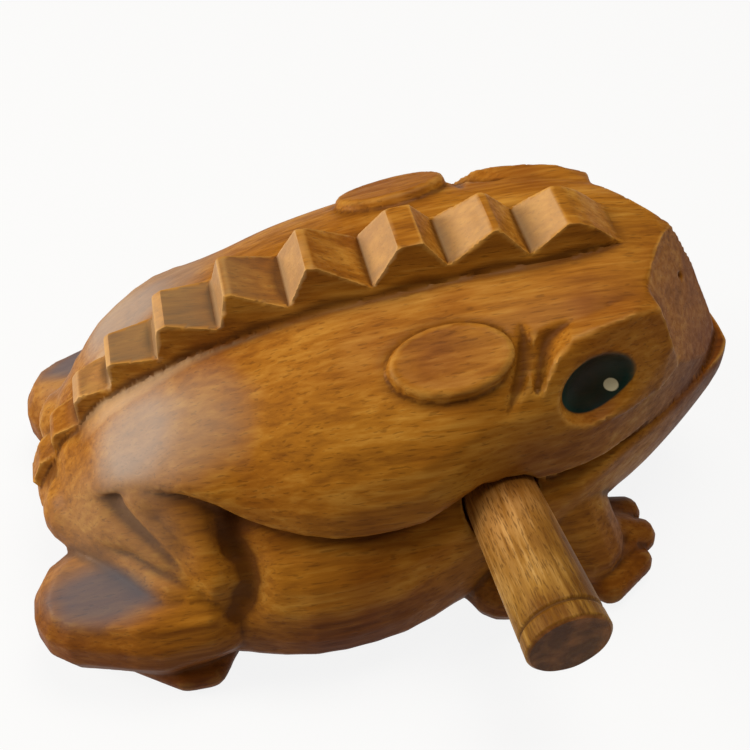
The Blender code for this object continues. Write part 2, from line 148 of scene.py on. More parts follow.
frog = {
    "weld": 0.002,
    "voxel": 0.74,
    "edgeAngle": 24.0,  # from which two faces of the carving meet in an edge
    "edgeStep": 0.1,
    "edgeReach": 0.40,  # within which a point moves onto an edge
    "crestHalfWidth": 7.2,  # only the teeth and the snout keep the knife's crisp edges
    "snoutRear": 44.0,
    "settleRounds": 2,
    "settleShare": 0.6,
    "facetRounds": 30,
    "facetRange": (0.09, 0.20),  # off the smoothed form: levelled up to the first, kept from the second
    "facetBlend": 4,
    "edgeSoftness": (0.5, 0.22),  # sanded edges, then crisp ones
    "waviness": 0.16,  # left by the carver's knife
    "waveLength": 13.0,
    "underside": (1.5, 3.5),  # height over which the waviness sets in, so that the frog stands flat
    "creaseAngle": 40.0,
    "edgeMarks": (("edgeFine", 4, 4500.0), ("edgeBroad", 60, 1400.0)),  # attribute, rounds, gain

    # gouge strokes on the left side, mirrored to the right: points, half width, depth
    "strokes": (
        (((-33.0, 28.4, 34.5), (-30.6, 30.6, 30.0), (-28.8, 33.2, 27.8), (-28.6, 35.8, 24.8),
          (-30.4, 37.0, 20.0), (-32.5, 37.9, 17.0)), 2.8, 2.2),
        (((-44.0, 24.2, 35.2), (-41.4, 26.9, 32.7), (-39.2, 29.4, 30.0), (-37.7, 32.0, 26.6)), 1.8, 0.8),
        (((-50.5, 18.4, 32.5), (-47.7, 21.8, 30.6), (-44.4, 25.4, 28.9), (-41.2, 29.1, 26.5),
          (-38.9, 31.6, 24.7)), 1.6, 0.7),
        (((-52.5, 22.0, 24.1), (-47.1, 26.1, 25.2), (-42.6, 29.7, 24.0), (-36.6, 34.0, 22.6)), 1.1, 0.7),
        (((46.2, 19.8, 5.0), (38.2, 28.5, 8.0)), 0.9, 0.5),
        (((47.1, 27.5, 4.0), (42.2, 29.2, 6.0), (34.7, 33.7, 7.0)), 0.9, 0.5),
    ),
    "strokeStart": 0.25,  # share of the depth at a stroke's two ends
    "strokeEntry": 3.0,
    "strokeDarkest": 2.2,  # depth that takes the full shade

    # tooth faces: over which lean, height and place along the back the painted highlight and the painted
    # shade fall
    "toothSide": (8.5, 7.5),
    "toothBackHighlight": {"lean": (0.35, 0.55), "height": (34.0, 40.0), "share": 0.42, "tint": "#C8A67A"},
    "toothAheadShade": {"lean": (-0.45, -0.30), "across": (0.45, 0.30), "along": (-12.0, -32.0),
                   "height": (24.0, 30.0), "share": 0.55, "tint": "#6E624C"},

    # wood
    "grainColours": ((0.32, "#70410D"), (0.50, "#966018"), (0.66, "#B07E31")),
    "stainColours": ((0.34, "#C09C7E"), (0.52, "#F2E8DC"), (0.66, "#FFFFFF")),
    "stainShare": 0.75,
    "figureShare": 0.55,
    "pores": "#4A2806",
    "poreEdge": ((0.30, 1.0), (0.40, 0.0)),  # noise value and how dark the pore is there
    "poreShare": 0.36,
    # painted shade: darker in the hollows, the creases and the gouge strokes
    "shadeColour": "#4A2606",
    "hollowShade": ((0.12, 0.75), (0.46, 0.0)),  # how proud a point stands, 0.5 is level, and its share
    "creaseShade": ((0.18, 0.75), (0.44, 0.0)),
    "strokeShadeShare": 0.7,
    "mostShade": 0.85,
    # lighter on the proud edges: wear, and a painted highlight along them
    "wornHighlight": "#C8984C",
    "edgeWearAndHighlight": ((0.68, 0.0), (1.0, 0.40)),
    "grainLift": 3.5,  # that the grain climbs towards the nose
    "figureStretch": 0.09,  # width of a streak as a share of its length
    "poreStretch": 0.13,
    "figureWidth": 7.0,
    "streakWidth": 1.1,
    "poreWidth": 0.42,  # coarser than real pores, which are too fine to show
    "blotchSize": 24.0,
    # tinted darker low down and on the snout: axis, range, share, tint
    "lowAndSnoutTints": ((2, (24.0, 2.0), 0.65, "#B08458"), (0, (38.0, 58.0), 0.60, "#C8B048")),
    # painted sheen and reflections on the rump and the shanks, as milky patches: middle, radii, share,
    # tint
    "sheenPatches": (((-41.0, 17.0, 44.0), (22.0, 11.0, 11.0), 0.44, "#8E8070"),
              ((-52.0, 24.0, 28.0), (20.0, 16.0, 15.0), 0.26, "#8E8070"),
              ((-44.0, 13.5, 41.5), (13.0, 9.0, 8.5), 0.30, "#A8A29C"),
              ((-51.0, 28.5, 19.0), (13.5, 6.5, 4.5), 0.72, "#4A4E58")),
    "sheenUneven": 0.9,
    "sheenEdge": (0.9, 1.6),  # share of the radii at which a patch starts to fade and is gone
    "roughness": (0.46, 0.60),
    "shine": 0.06,
    "coat": 0.02,
    "coatRoughness": 0.26,
    "bump": 0.22,
    "poreDepth": 0.6,
    "grainDepth": 0.2,

    "eye": {
        "centre": (32.0, 29.0, 49.5),  # of the left socket
        "way": (0.30, 0.88, 0.36),
        "socketRadii": (8.5, 6.5, 6.2),
        "paintPlace": (1.2, 1.3),  # along and up from the centre
        "paintRadii": (7.1, 5.3),
        "paintTurn": 15.0,
        "dotPlace": (4.3, -1.5),
        "dotRadius": 1.05,
        "paintReach": 1.03,  # over the rim by this share of the radii
        "paintColours": ((0.40, "#0C1C18"), (0.62, "#1C382E")),
        "dot": "#D6CCAA",
        "roughness": 0.42,
    },
}


def makeBody():
    source = frame["nodes"]["frog_body"].data.copy()
    bm = bmesh.new()
    bm.from_mesh(source)
    bmesh.ops.remove_doubles(bm, verts=bm.verts, dist=frog["weld"] / 1000)
    bm.to_mesh(source)
    edges = carvedEdges(bm)
    bm.free()
    source.materials.clear()
    piece = place(bpy.data.objects.new("frogBody", source))
    remesh = piece.modifiers.new("remesh", "REMESH")
    remesh.mode = "VOXEL"
    remesh.voxel_size = frog["voxel"] / 1000
    mesh = plainMesh(piece)
    dropCrumbs(mesh)
    pairs = column(mesh.edges, "vertices", np.int32, 2)

    # back onto the carved surface, and onto its edges where they are crisp
    carved = BVHTree.FromPolygons([v.co for v in source.vertices], [p.vertices for p in source.polygons])
    co = np.array([carved.find_nearest(v.co)[0] for v in mesh.vertices])
    crisp = (np.abs(co[:, 1]) < frog["crestHalfWidth"] / 1000) | (co[:, 0] > frog["snoutRear"] / 1000)
    held = np.zeros((len(co), 1))
    for k in np.flatnonzero(crisp):
        spot, _, away = edges.find(co[k])
        if away < frog["edgeReach"] / 1000:
            co[k], held[k] = spot, 1.0
    for _ in range(frog["settleRounds"]):
        co = co + (averaged(co, pairs, 1, frog["settleShare"]) - co) * (1 - held)
        co = np.where(held > 0, co, [carved.find_nearest(Vector(p))[0] for p in co])

    # long surfaces levelled, edges softened
    level = averaged(co, pairs, frog["facetRounds"])
    off = np.linalg.norm(co - level, axis=1) * 1000
    keep = averaged(ramp(off, *frog["facetRange"])[:, None], pairs, frog["facetBlend"])
    co = level + (co - level) * keep
    sanded, knifed = frog["edgeSoftness"]
    co = co + (averaged(co, pairs, 1, 1.0) - co) * np.where(crisp, knifed, sanded)[:, None]
    setPoints(mesh, co)
    co, shade = cutStrokes(mesh, co, carved)

    way = column(mesh.vertices, "normal")
    wave = np.array([noise.noise(Vector(p) * 1000 / frog["waveLength"]) for p in co])
    wave *= ramp(co[:, 2] * 1000, *frog["underside"]) * frog["waviness"] / 1000
    co = co + way * wave[:, None]
    setPoints(mesh, co)

    mark(mesh, "strokeShade", shade)
    markTeeth(mesh, co, way)
    # how far each point stands proud of what is round it, for the wear with its painted highlight and
    # for the painted shade
    for name, rounds, gain in frog["edgeMarks"]:
        proud = ((co - averaged(co, pairs, rounds)) * way).sum(1) * gain
        mark(mesh, name, np.clip(proud * 0.5 + 0.5, 0, 1))
    mesh.polygons.foreach_set("use_smooth", [True] * len(mesh.polygons))
    mesh.set_sharp_from_angle(angle=math.radians(frog["creaseAngle"]))
    print("frog body:", len(mesh.vertices), "points")
    return piece


def carvedEdges(bm):
    # points along the edges of the carving, to look up the nearest one
    spots = []
    for edge in bm.edges:
        if len(edge.link_faces) == 2 and edge.calc_face_angle() > math.radians(frog["edgeAngle"]):
            a, b = (v.co for v in edge.verts)
            count = max(1, round(edge.calc_length() * 1000 / frog["edgeStep"]))
            spots += [a.lerp(b, k / count) for k in range(count + 1)]
    tree = KDTree(len(spots))
    for k, spot in enumerate(spots):
        tree.insert(spot, k)
    tree.balance()
    return tree


def dropCrumbs(mesh):
    # the remesh leaves a speck where two cuts meet; only the block itself stays
    bm = bmesh.new()
    bm.from_mesh(mesh)
    shells, seen = [], set()
    for start in bm.verts:
        if start in seen:
            continue
        seen.add(start)
        shell, front = [start], [start]
        while front:
            here = front.pop()
            near = {edge.other_vert(here) for edge in here.link_edges} - seen
            seen |= near
            shell.extend(near)
            front.extend(near)
        shells.append(shell)
    for shell in sorted(shells, key=len)[:-1]:
        bmesh.ops.delete(bm, geom=shell, context="VERTS")
    bm.to_mesh(mesh)
    bm.free()


def cutStrokes(mesh, co, carved):
    # each stroke is pressed into the surface along its points, on both sides
    way = column(mesh.vertices, "normal")
    folded = co * (1, 0, 1) + np.abs(co) * (0, 1, 0)
    shade = np.zeros(len(co))
    for points, halfWidth, depth in frog["strokes"]:
        ends = [np.array(carved.find_nearest(Vector(p) / 1000)[0]) for p in points]
        reach = np.full(len(co), 1.0)
        gone = np.zeros(len(co))
        for k, (a, b) in enumerate(zip(ends, ends[1:])):
            share = np.clip(((folded - a) @ (b - a)) / ((b - a) @ (b - a)), 0, 1)
            away = np.linalg.norm(folded - a - share[:, None] * (b - a), axis=1)
            gone = np.where(away < reach, (k + share) / (len(ends) - 1), gone)
            reach = np.minimum(reach, away)
        # the blade goes in and comes out gently
        into = np.clip(np.minimum(gone, 1 - gone) * frog["strokeEntry"] + frog["strokeStart"], 0, 1)
        press = depth * into * np.exp(-(reach * 1000 / halfWidth) ** 2)
        co = co - way * press[:, None] / 1000
        shade = np.maximum(shade, press / frog["strokeDarkest"])
    setPoints(mesh, co)
    return co, shade


def markTeeth(mesh, co, way):
    # faces that look back get a painted highlight, those near the tail that look ahead a painted shade
    # with a grey reflection
    x, y, z = (co * 1000).T
    teeth = ramp(np.abs(y), *frog["toothSide"])
    back, ahead = frog["toothBackHighlight"], frog["toothAheadShade"]
    mark(mesh, "toothBackHighlight", teeth * ramp(-way[:, 0], *back["lean"]) * ramp(z, *back["height"]))
    mark(mesh, "toothAheadShade", teeth * ramp(way[:, 0], *ahead["lean"]) * ramp(z, *ahead["height"])
         * ramp(np.abs(way[:, 1]), *ahead["across"]) * ramp(x, *ahead["along"]))


def bodyWood():
    # Hardwood cut and sanded along the grain under satin lacquer: brown figure, open pores, soft shine
    material, tree = emptyMaterial("lacqueredHardwood")
    point = add(tree, "ShaderNodeTexCoord").outputs["Object"]
    lift = (0.0, math.radians(frog["grainLift"]), 0.0)
    long, dash = [add(tree, "ShaderNodeMapping", {"Vector": point, "Rotation": lift,
                                                  "Scale": (frog[stretch], 1, 1)}).outputs[0]
                  for stretch in ("figureStretch", "poreStretch")]
    figure = add(tree, "ShaderNodeTexNoise",
                 {"Vector": long, "Scale": 1000 / frog["figureWidth"], "Detail": 3.0,
                  "Roughness": 0.55, "Distortion": 0.9}).outputs[0]
    streaks = add(tree, "ShaderNodeTexNoise",
                  {"Vector": long, "Scale": 1000 / frog["streakWidth"], "Detail": 4.0,
                   "Roughness": 0.6, "Distortion": 0.3}).outputs[0]
    pores = add(tree, "ShaderNodeTexNoise",
                {"Vector": dash, "Scale": 1000 / frog["poreWidth"], "Detail": 1.0,
                 "Roughness": 0.5}).outputs[0]
    blotches = add(tree, "ShaderNodeTexNoise",
                   {"Vector": point, "Scale": 1000 / frog["blotchSize"], "Detail": 3.0,
                    "Roughness": 0.55}).outputs[0]
    tone = add(tree, "ShaderNodeMath", {0: figure, 1: frog["figureShare"]},
               operation="MULTIPLY").outputs[0]
    tone = add(tree, "ShaderNodeMath", {0: streaks, 1: 1 - frog["figureShare"], 2: tone},
               operation="MULTIPLY_ADD").outputs[0]
    colour = add(tree, "ShaderNodeValToRGB", {"Fac": tone}, stops=frog["grainColours"]).outputs[0]
    stain = add(tree, "ShaderNodeValToRGB", {"Fac": blotches}, stops=frog["stainColours"]).outputs[0]
    colour = add(tree, "ShaderNodeMix", {0: frog["stainShare"], 6: colour, 7: stain},
                 data_type="RGBA", blend_type="MULTIPLY").outputs[2]
    poreMask = add(tree, "ShaderNodeValToRGB", {"Fac": pores}, stops=frog["poreEdge"]).outputs[0]
    poreShare = add(tree, "ShaderNodeMath", {0: poreMask, 1: frog["poreShare"]},
                    operation="MULTIPLY").outputs[0]
    colour = add(tree, "ShaderNodeMix", {0: poreShare, 6: colour, 7: frog["pores"]},
                 data_type="RGBA").outputs[2]

    # tinted darker towards the bottom and towards the snout
    parts = add(tree, "ShaderNodeSeparateXYZ", {0: point}).outputs
    for axis, (start, end), most, tint in frog["lowAndSnoutTints"]:
        share = add(tree, "ShaderNodeMapRange",
                    {"Value": parts[axis], "From Min": start / 1000, "From Max": end / 1000,
                     "To Min": 0.0, "To Max": most}, interpolation_type="SMOOTHSTEP").outputs[0]
        colour = add(tree, "ShaderNodeMix", {0: share, 6: colour, 7: tint}, data_type="RGBA",
                     blend_type="MULTIPLY").outputs[2]

    # painted shade in the hollows, the creases and the gouge strokes; wear with a painted highlight on
    # the edges
    fine = add(tree, "ShaderNodeAttribute", attribute_name="edgeFine").outputs["Fac"]
    broad = add(tree, "ShaderNodeAttribute", attribute_name="edgeBroad").outputs["Fac"]
    hollow = add(tree, "ShaderNodeValToRGB", {"Fac": broad}, stops=frog["hollowShade"]).outputs[0]
    crease = add(tree, "ShaderNodeValToRGB", {"Fac": fine}, stops=frog["creaseShade"]).outputs[0]
    # painted shade, darkest in the deep hollows, creases and strokes
    dark = add(tree, "ShaderNodeMath", {0: hollow, 1: crease}, operation="MAXIMUM").outputs[0]
    stroke = add(tree, "ShaderNodeAttribute", attribute_name="strokeShade").outputs["Fac"]
    dark = add(tree, "ShaderNodeMath", {0: stroke, 1: frog["strokeShadeShare"], 2: dark},
               operation="MULTIPLY_ADD").outputs[0]
    dark = add(tree, "ShaderNodeMath", {0: dark, 1: frog["mostShade"]}, operation="MINIMUM").outputs[0]
    colour = add(tree, "ShaderNodeMix", {0: dark, 6: colour, 7: frog["shadeColour"]},
                 data_type="RGBA").outputs[2]
    # proud edges lighter: wear and painted highlight
    wornHighlight = add(tree, "ShaderNodeValToRGB", {"Fac": fine}, stops=frog["edgeWearAndHighlight"]).outputs[0]
    colour = add(tree, "ShaderNodeMix", {0: wornHighlight, 6: colour, 7: frog["wornHighlight"]},
                 data_type="RGBA").outputs[2]

    # painted shade and reflection on the faces near the tail that look ahead, painted highlight on those
    # that look back
    for name in ("toothAheadShade", "toothBackHighlight"):
        share = add(tree, "ShaderNodeAttribute", attribute_name=name).outputs["Fac"]
        share = add(tree, "ShaderNodeMath", {0: share, 1: frog[name]["share"]},
                    operation="MULTIPLY").outputs[0]
        colour = add(tree, "ShaderNodeMix", {0: share, 6: colour, 7: frog[name]["tint"]},
                     data_type="RGBA").outputs[2]

    # painted sheen and reflections in patches on the rump and the shanks
    side = add(tree, "ShaderNodeMath", {0: parts[1]}, operation="ABSOLUTE").outputs[0]
    folded = add(tree, "ShaderNodeCombineXYZ", {0: parts[0], 1: side, 2: parts[2]}).outputs[0]
    inner, outer = frog["sheenEdge"]
    for middle, radii, most, tint in frog["sheenPatches"]:
        away = add(tree, "ShaderNodeVectorMath", {0: folded, 1: Vector(middle) / 1000},
                   operation="SUBTRACT").outputs[0]
        away = add(tree, "ShaderNodeVectorMath", {0: away, 1: [1000 / r for r in radii]},
                   operation="MULTIPLY").outputs[0]
        away = add(tree, "ShaderNodeVectorMath", {0: away}, operation="LENGTH").outputs["Value"]
        away = add(tree, "ShaderNodeMath", {0: blotches, 1: frog["sheenUneven"], 2: away},
                   operation="MULTIPLY_ADD").outputs[0]
        patch = add(tree, "ShaderNodeMapRange",
                    {"Value": away, "From Min": inner, "From Max": outer, "To Min": most,
                     "To Max": 0.0}, interpolation_type="SMOOTHSTEP").outputs[0]
        colour = add(tree, "ShaderNodeMix", {0: patch, 6: colour, 7: tint},
                     data_type="RGBA").outputs[2]

    colour, painted = eyePaint(tree, folded, blotches, colour)
    smooth, rough = frog["roughness"]
    gloss = add(tree, "ShaderNodeMapRange", {"Value": streaks, "From Min": 0.3, "From Max": 0.7,
                                             "To Min": rough, "To Max": smooth}).outputs[0]
    gloss = add(tree, "ShaderNodeMix", {0: painted, 2: gloss, 3: frog["eye"]["roughness"]}).outputs[0]
    height = add(tree, "ShaderNodeMath", {0: poreMask, 1: -frog["poreDepth"], 2: streaks},
                 operation="MULTIPLY_ADD").outputs[0]
    bump = add(tree, "ShaderNodeBump", {"Height": height, "Strength": frog["bump"],
                                        "Distance": frog["grainDepth"] / 1000}).outputs[0]
    shader = add(tree, "ShaderNodeBsdfPrincipled",
                 {"Base Color": colour, "Roughness": gloss, "Normal": bump, "IOR": 1.5,
                  "Specular IOR Level": frog["shine"], "Coat Weight": frog["coat"],
                  "Coat Roughness": frog["coatRoughness"]})
    add(tree, "ShaderNodeOutputMaterial", {"Surface": shader.outputs[0]})
    return material


def eyePaint(tree, folded, blotches, colour):
    # Enamel paint on the floor of each socket up to its rim, and a pale dot on it
    eye = frog["eye"]
    way = Vector(eye["way"]).normalized()
    along = way.cross(Vector((0, 0, 1))).normalized()
    local = add(tree, "ShaderNodeVectorMath", {0: folded, 1: Vector(eye["centre"]) / 1000},
                operation="SUBTRACT").outputs[0]
    flat = [add(tree, "ShaderNodeVectorMath", {0: local, 1: axis * 1000},
                operation="DOT_PRODUCT").outputs["Value"] for axis in (along, along.cross(way), way)]
    spot = add(tree, "ShaderNodeCombineXYZ", dict(enumerate(flat))).outputs[0]
    masks = []
    endless = 1e6  # a radius along the socket's axis that takes in all of it
    for middle, radii, turn, soft in (
            ((0, 0), eye["socketRadii"], 0, 0.05),
            (eye["paintPlace"], (*eye["paintRadii"], endless), eye["paintTurn"], 0.02),
            (eye["dotPlace"], (eye["dotRadius"], eye["dotRadius"], endless), 0, 0.08)):
        away = add(tree, "ShaderNodeMapping",
                   {"Vector": spot, "Location": (*middle, 0), "Scale": radii,
                    "Rotation": (0, 0, math.radians(turn))}, vector_type="TEXTURE").outputs[0]
        away = add(tree, "ShaderNodeVectorMath", {0: away}, operation="LENGTH").outputs["Value"]
        masks.append(add(tree, "ShaderNodeMapRange",
                         {"Value": away, "From Min": eye["paintReach"] + soft,
                          "From Max": eye["paintReach"] - soft}).outputs[0])
    lens = add(tree, "ShaderNodeMath", {0: masks[0], 1: masks[1]}, operation="MULTIPLY").outputs[0]
    dot = add(tree, "ShaderNodeMath", {0: masks[2], 1: lens}, operation="MULTIPLY").outputs[0]
    paint = add(tree, "ShaderNodeValToRGB", {"Fac": blotches}, stops=eye["paintColours"]).outputs[0]
    colour = add(tree, "ShaderNodeMix", {0: lens, 6: colour, 7: paint}, data_type="RGBA").outputs[2]
    colour = add(tree, "ShaderNodeMix", {0: dot, 6: colour, 7: eye["dot"]}, data_type="RGBA").outputs[2]
    return colour, lens


# Stick: turned on a lathe, its profile swept round its own axis.

stick = {
    "near": 60.9,  # from the middle of the bore to the handle's face
    "far": 40.0,
    "handleRadius": 7.3,
    "shaftRadius": 6.4,
    "flare": 30.0,
    "chamfer": 0.6,
    "groovePlace": 3.6,
    "grooveDepth": 0.5,
    "grooveHalfWidth": 0.5,
    "unevenness": 0.10,
    "waveScale": (160.0, 160.0, 30.0),  # waves per metre across and along
    "rings": 480,
    "sides": 96,
    "weld": 0.002,
    "bore": (12.8, 0.0, 30.0),
    "yaw": 4.5,
    "grainColours": ((0.38, "#623C0E"), (0.50, "#8A6226"), (0.62, "#B48E52")),
    "fadeShare": 0.6,
    "endGrain": ((0.42, "#4C2A10"), (0.70, "#80502A")),
    "endGrainScale": 320.0,
    "endGrainRange": (0.5, 0.2),  # from the handle's face
    "endGrainShare": 0.85,
    "pores": "#4E300E",
    "poreEdge": ((0.36, 1.0), (0.44, 0.0)),
    "poreShare": 0.55,
    "stain": "#D09458",  # towards the bore
    "stainRange": (8.0, 34.0),
    "stainShare": 0.7,
    "grooveShade": (0.12, 0.36),  # from the middle of the groove
    "grooveShare": 0.85,
    "streakStretch": 0.06,  # width of a streak as a share of its length
    "poreStretch": 0.14,
    "streakWidth": 1.0,
    "poreWidth": 0.26,  # coarser than real pores, which are too fine to show
    "fadeWidth": 16.0,
    "roughness": 0.5,
    "shine": 0.08,
    "bump": 0.3,
    "poreDepth": 0.7,
    "grainDepth": 0.2,
}


def stickTree():
    tree = bpy.data.node_groups.new("turnedStick", "GeometryNodeTree")
    names = ("Length", "Handle Radius", "Shaft Radius", "Flare", "Chamfer", "Groove Place",
             "Groove Depth", "Groove Half Width", "Unevenness")
    sockets = [(name, "Float") for name in names]
    sockets += [("Rings", "Int"), ("Sides", "Int"), ("Material", "Material")]
    for name, kind in sockets:
        tree.interface.new_socket(name, in_out="INPUT", socket_type="NodeSocket" + kind)
    tree.interface.new_socket("Geometry", in_out="OUTPUT", socket_type="NodeSocketGeometry")
    given = add(tree, "NodeGroupInput").outputs
    end = add(tree, "ShaderNodeCombineXYZ", {2: given["Length"]}).outputs[0]
    line = add(tree, "GeometryNodeCurvePrimitiveLine", {"End": end}).outputs[0]
    rings = add(tree, "GeometryNodeResampleCurve", {"Curve": line, "Count": given["Rings"]}).outputs[0]

    # radius along the stick, less the groove and the chamfers
    along = add(tree, "GeometryNodeSplineParameter").outputs["Length"]
    radius = add(tree, "ShaderNodeMapRange",
                 {"Value": along, 1: 0.0, 2: given["Flare"], 3: given["Handle Radius"],
                  4: given["Shaft Radius"]}).outputs[0]
    fromGroove = add(tree, "ShaderNodeMath", {0: along, 1: given["Groove Place"]},
                     operation="SUBTRACT").outputs[0]
    fromGroove = add(tree, "ShaderNodeMath", {0: fromGroove}, operation="ABSOLUTE").outputs[0]
    groove = add(tree, "ShaderNodeMapRange",
                 {"Value": fromGroove, 1: 0.0, 2: given["Groove Half Width"],
                  3: given["Groove Depth"], 4: 0.0}).outputs[0]
    left = add(tree, "ShaderNodeMath", {0: given["Length"], 1: along}, operation="SUBTRACT").outputs[0]
    toEnd = add(tree, "ShaderNodeMath", {0: along, 1: left}, operation="MINIMUM").outputs[0]
    chamfer = add(tree, "ShaderNodeMapRange",
                  {"Value": toEnd, 1: 0.0, 2: given["Chamfer"], 3: given["Chamfer"],
                   4: 0.0}).outputs[0]
    cut = add(tree, "ShaderNodeMath", {0: groove, 1: chamfer}, operation="ADD").outputs[0]
    radius = add(tree, "ShaderNodeMath", {0: radius, 1: cut}, operation="SUBTRACT").outputs[0]
    ring = add(tree, "GeometryNodeCurvePrimitiveCircle",
               {"Resolution": given["Sides"], "Radius": 1.0}).outputs[0]
    turned = add(tree, "GeometryNodeCurveToMesh",
                 {"Curve": rings, "Profile Curve": ring, "Scale": radius, "Fill Caps": True}).outputs[0]
    turned = add(tree, "GeometryNodeMergeByDistance",
                 {"Geometry": turned, "Distance": stick["weld"] / 1000}).outputs[0]

    # the lathe's unevenness only takes wood away
    normal = add(tree, "GeometryNodeInputNormal").outputs[0]
    spot = add(tree, "GeometryNodeInputPosition").outputs[0]
    stretched = add(tree, "ShaderNodeVectorMath", {0: spot, 1: stick["waveScale"]},
                    operation="MULTIPLY").outputs[0]
    wave = add(tree, "ShaderNodeTexNoise", {"Vector": stretched, "Scale": 1.0, "Detail": 1.0}).outputs[0]
    wave = add(tree, "ShaderNodeMapRange", {"Value": wave, 1: 0.3, 2: 0.7, 3: 0.0, 4: 1.0}).outputs[0]
    inward = add(tree, "ShaderNodeMath", {0: wave, 1: given["Unevenness"]},
                 operation="MULTIPLY").outputs[0]
    inward = add(tree, "ShaderNodeMath", {0: inward, 1: -1.0}, operation="MULTIPLY").outputs[0]
    offset = add(tree, "ShaderNodeVectorMath", {0: normal, "Scale": inward},
                 operation="SCALE").outputs[0]
    turned = add(tree, "GeometryNodeSetPosition", {"Geometry": turned, "Offset": offset}).outputs[0]
    turned = add(tree, "GeometryNodeSetShadeSmooth", {"Geometry": turned}).outputs[0]
    turned = add(tree, "GeometryNodeRealizeInstances", {"Geometry": turned}).outputs[0]
    turned = add(tree, "GeometryNodeSetMaterial",
                 {"Geometry": turned, "Material": given["Material"]}).outputs[0]
    add(tree, "NodeGroupOutput", {"Geometry": turned})
    return tree


def stickLine():
    # the stick's outward way at the handle, and the middle of the handle's face
    yaw = math.radians(stick["yaw"])
    axis = Vector((math.sin(yaw), -math.cos(yaw), 0))
    return axis, Vector(stick["bore"]) / 1000 + axis * stick["near"] / 1000


def makeStick(material):
    piece = place(bpy.data.objects.new("turnedStick", bpy.data.meshes.new("turnedStick")))
    tree = stickTree()
    turned = piece.modifiers.new("turned", "NODES")
    turned.node_group = tree
    sizes = {
        "Length": stick["near"] + stick["far"], "Handle Radius": stick["handleRadius"],
        "Shaft Radius": stick["shaftRadius"], "Flare": stick["flare"], "Chamfer": stick["chamfer"],
        "Groove Place": stick["groovePlace"], "Groove Depth": stick["grooveDepth"],
        "Groove Half Width": stick["grooveHalfWidth"], "Unevenness": stick["unevenness"],
    }
    given = {name: size / 1000 for name, size in sizes.items()}
    given |= {"Rings": stick["rings"], "Sides": stick["sides"], "Material": material}
    for socket in tree.interface.items_tree:
        if socket.in_out == "INPUT":
            turned[socket.identifier] = given[socket.name]
    mesh = plainMesh(piece)
    axis, start = stickLine()
    mesh.transform(Matrix.Translation(start) @ (-axis).to_track_quat("Z", "Y").to_matrix().to_4x4())
    print("stick:", len(mesh.vertices), "points")
    return piece


